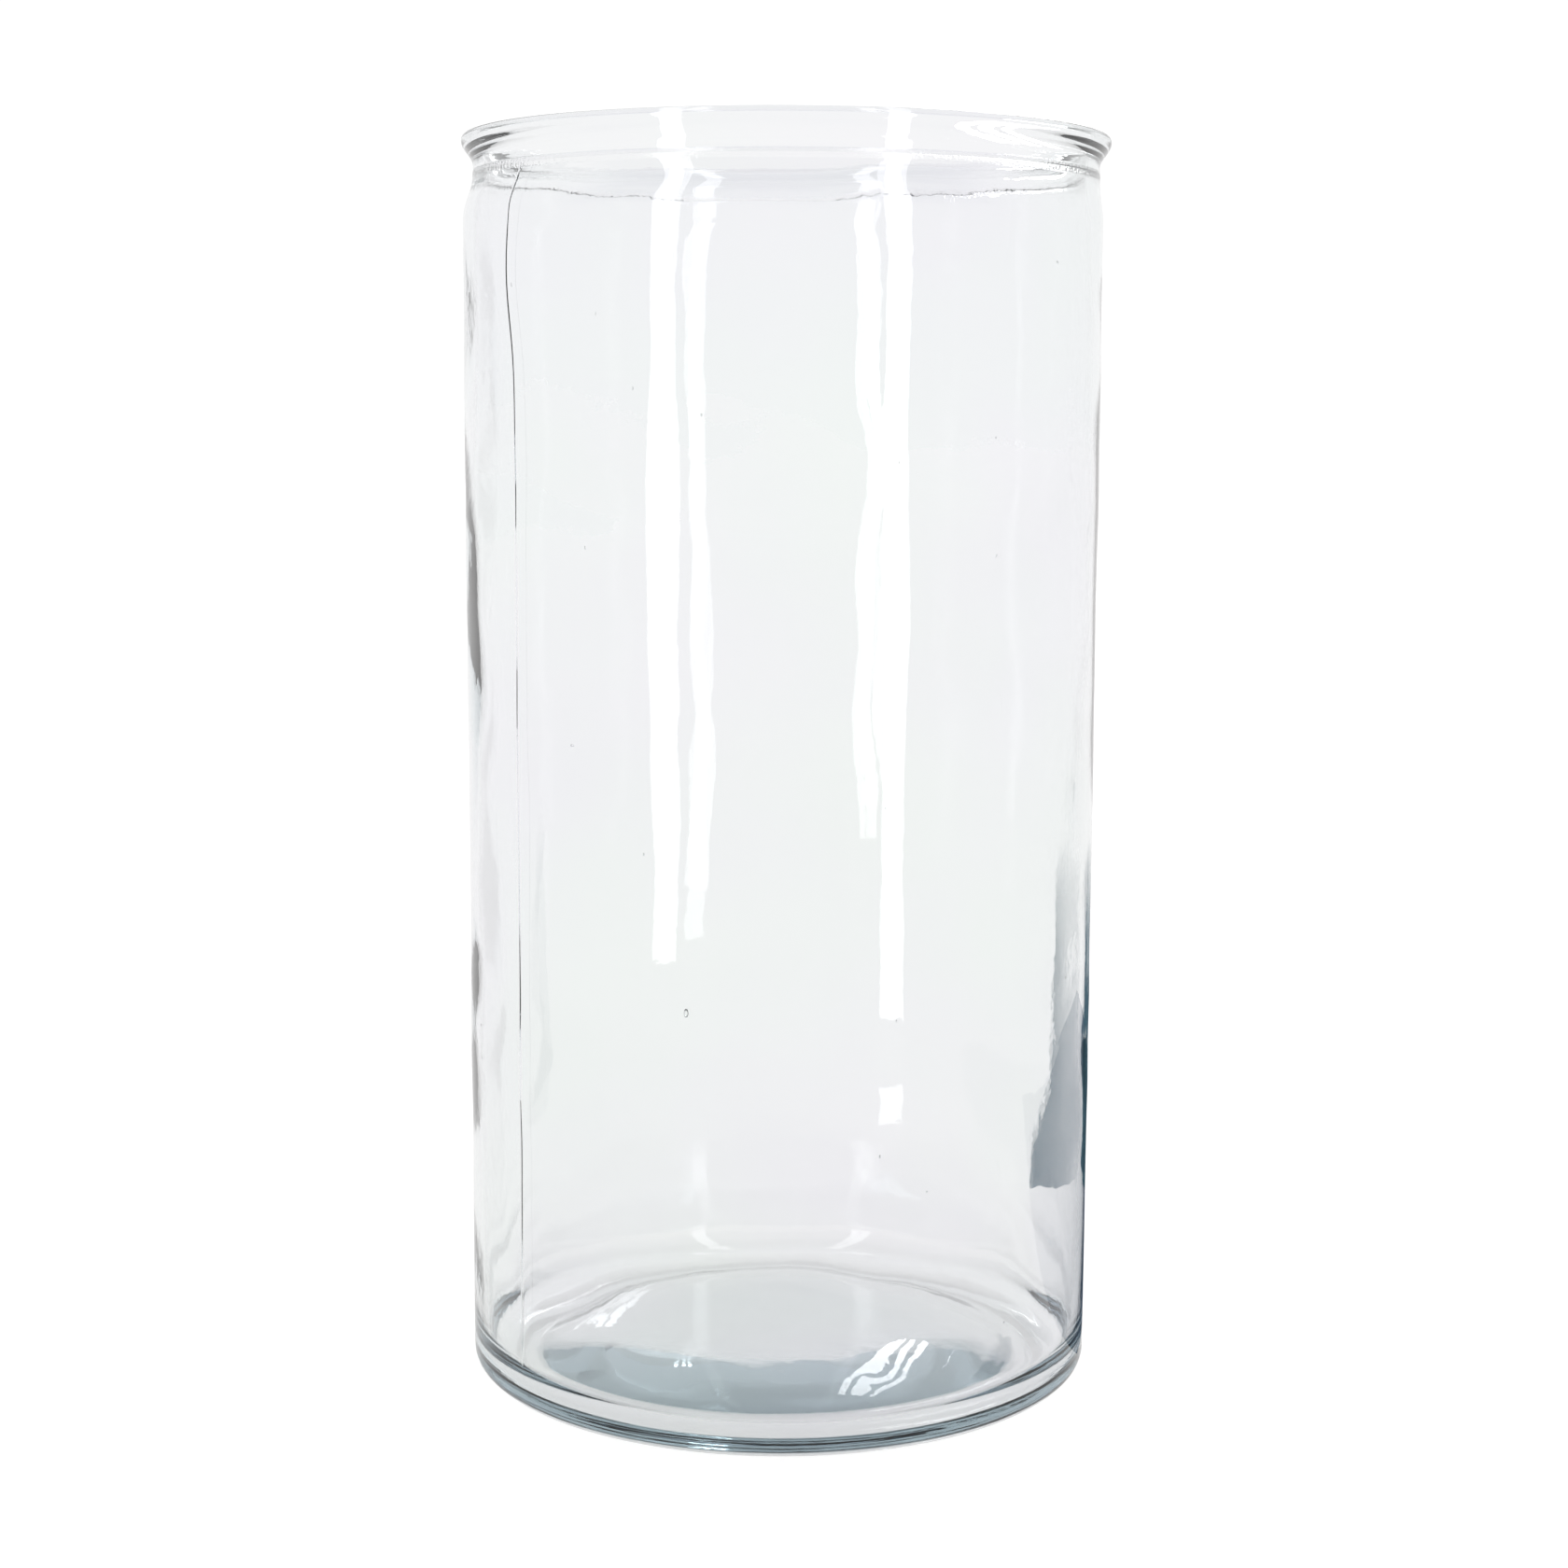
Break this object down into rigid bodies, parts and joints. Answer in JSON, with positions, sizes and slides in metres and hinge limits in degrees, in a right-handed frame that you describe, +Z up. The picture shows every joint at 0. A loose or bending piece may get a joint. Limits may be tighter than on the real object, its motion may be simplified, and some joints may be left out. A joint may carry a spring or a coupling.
{
  "type": "glass cylinder vase",
  "caption": "Tall clear moulded-glass cylinder vase with a flared lip, rounded heel and a floor that is thickest in the middle, open at the top, for cut flowers and water.",
  "frame": {"origin": "centre of the contact ring, on the surface the vase stands on", "axes": "+Z up along the axis of the cylinder; the body is round, and the two mould seams lie 38 degrees round from +X and from -X"},
  "size_m": [0.2024, 0.2024, 0.395],
  "materials": {
    "glass": "clear moulded soda-lime glass, smooth and glossy, slightly wavy, faint green in the thick base"
  },
  "bodies": {
    "root": {"lip_ring": "glass", "wall": "glass", "base": "glass"}
  },
  "joints": []
}
